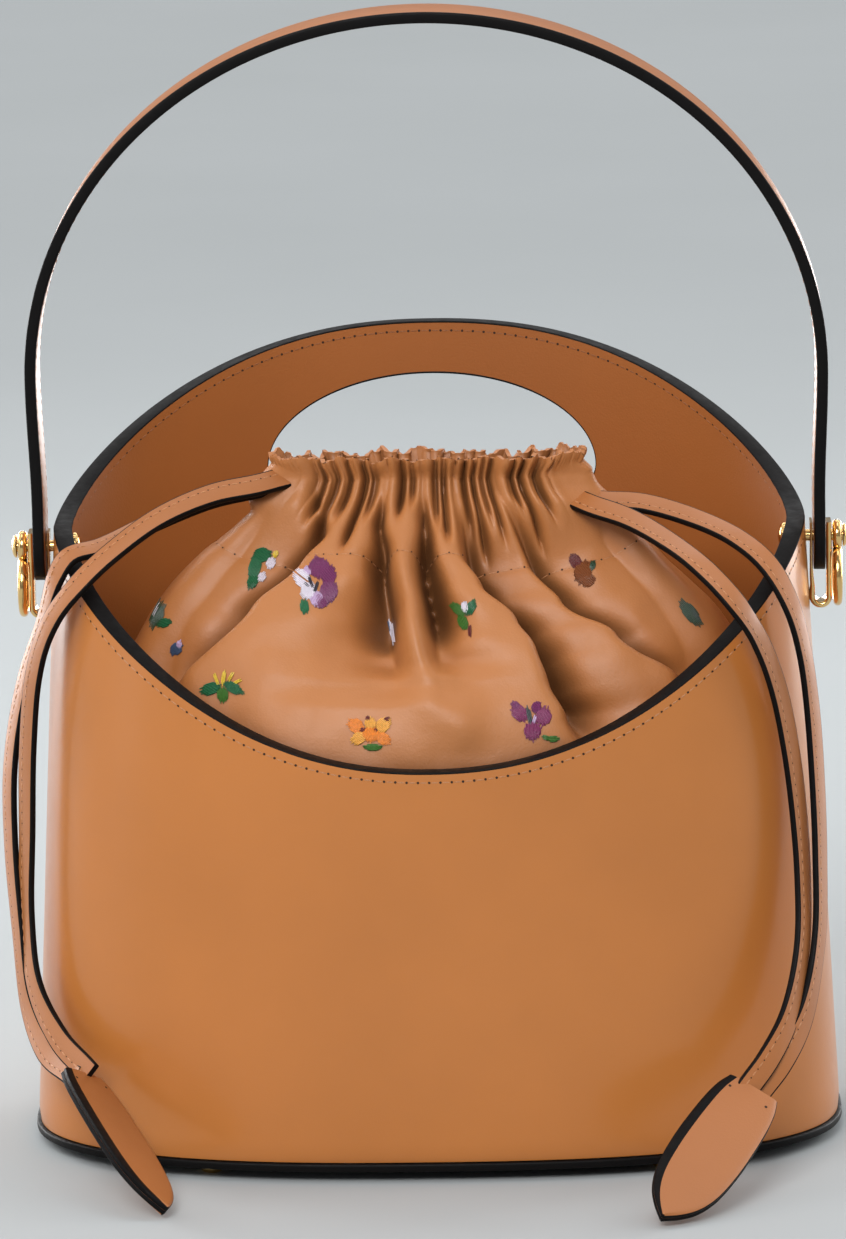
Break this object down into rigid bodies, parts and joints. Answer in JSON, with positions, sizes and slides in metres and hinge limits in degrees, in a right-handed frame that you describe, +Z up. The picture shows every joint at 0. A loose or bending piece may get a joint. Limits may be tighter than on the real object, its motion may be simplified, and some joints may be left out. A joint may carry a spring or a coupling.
{
  "type": "bucket bag",
  "caption": "Structured oval bucket bag with a domed back panel and grab hole, a gathered drawstring inner pouch, a swinging arched strap and hanging side rings.",
  "frame": {"origin": "on the surface the bag stands on, under the middle of its base", "axes": "+X to the bag's right, +Y towards its high back panel, +Z up"},
  "size_m": [0.2617, 0.201, 0.3505],
  "materials": {
    "leather": "smooth glazed tan calf leather, semi-gloss",
    "strap_leather": "smooth glazed tan calf leather with black painted edges",
    "wall_lining": "smooth tan leather, satin",
    "board": "bonded leather-fibre board, matt",
    "edge_paint": "black edge paint, satin",
    "gold": "polished gold plating",
    "pouch_leather": "soft nappa leather, satin, with embroidered flowers",
    "lace_leather": "smooth tan leather with black painted edges and one row of stitches"
  },
  "bodies": {
    "body": {"front_outer_panel": "leather", "back_outer_panel": "leather", "front_lining": "wall_lining", "back_lining": "wall_lining", "base_lining": "wall_lining", "front_stiffener": "board", "back_stiffener": "board", "base_board": "board", "base_sole": "edge_paint", "foot_front_left": "gold", "foot_front_right": "gold", "foot_back_right": "gold", "foot_back_left": "gold", "foot_washer_front_left": "gold", "foot_washer_front_right": "gold", "foot_washer_back_right": "gold", "foot_washer_back_left": "gold", "left_pin": "gold", "left_inner_cap": "gold", "right_pin": "gold", "right_inner_cap": "gold", "pouch_front": "pouch_leather", "pouch_back": "pouch_leather", "pouch_floor": "pouch_leather", "pouch_casing": "pouch_leather", "left_lace_front": "lace_leather", "left_lace_back": "lace_leather", "right_lace_front": "lace_leather", "right_lace_back": "lace_leather", "left_tab_front": "lace_leather", "left_tab_back": "lace_leather", "right_tab_front": "lace_leather", "right_tab_back": "lace_leather"},
    "strap": {"strap_outer": "strap_leather", "strap_lining": "strap_leather", "left_strap_bracket": "gold", "right_strap_bracket": "gold"},
    "left_ring": {"left_ring": "gold"},
    "right_ring": {"right_ring": "gold"}
  },
  "joints": [
    {"name": "strap_swing", "type": "hinge", "parent": "body", "child": "strap", "pos_m": [0, 0, 0.1855], "axis": [1, 0, 0], "range_deg": [-135, 75]},
    {"name": "left_ring_swing", "type": "hinge", "parent": "body", "child": "left_ring", "pos_m": [-0.1256, 0, 0.1855], "axis": [1, 0, 0], "continuous": true},
    {"name": "right_ring_swing", "type": "hinge", "parent": "body", "child": "right_ring", "pos_m": [0.1256, 0, 0.1855], "axis": [1, 0, 0], "continuous": true}
  ]
}
